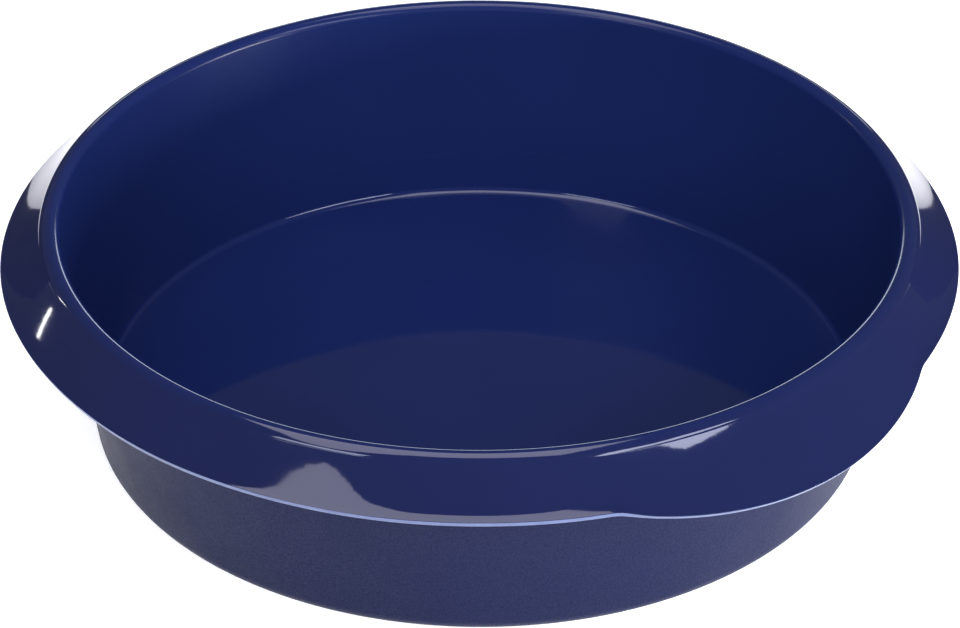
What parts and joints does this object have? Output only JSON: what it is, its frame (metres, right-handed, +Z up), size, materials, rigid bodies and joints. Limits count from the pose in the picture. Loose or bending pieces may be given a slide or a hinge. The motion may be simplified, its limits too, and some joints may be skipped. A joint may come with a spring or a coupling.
{
  "type": "round silicone cake pan",
  "caption": "Deep round flexible baking pan with a rolled rim bead, a drooping flange that widens into grip tabs on opposite sides, and a steel hoop moulded into the rim.",
  "frame": {"origin": "centre of the base, on the surface that the pan stands on", "axes": "+Z up out of the pan's mouth, +X through the middle of one grip tab and -X through the other"},
  "size_m": [0.2744, 0.262, 0.064],
  "materials": {
    "silicone": "gloss inside and on the flange, fine matte grain on the outer wall and base",
    "hoop_steel": "drawn wire"
  },
  "bodies": {
    "root": {"silicone_pan": "silicone", "rim_hoop": "hoop_steel"}
  },
  "joints": []
}
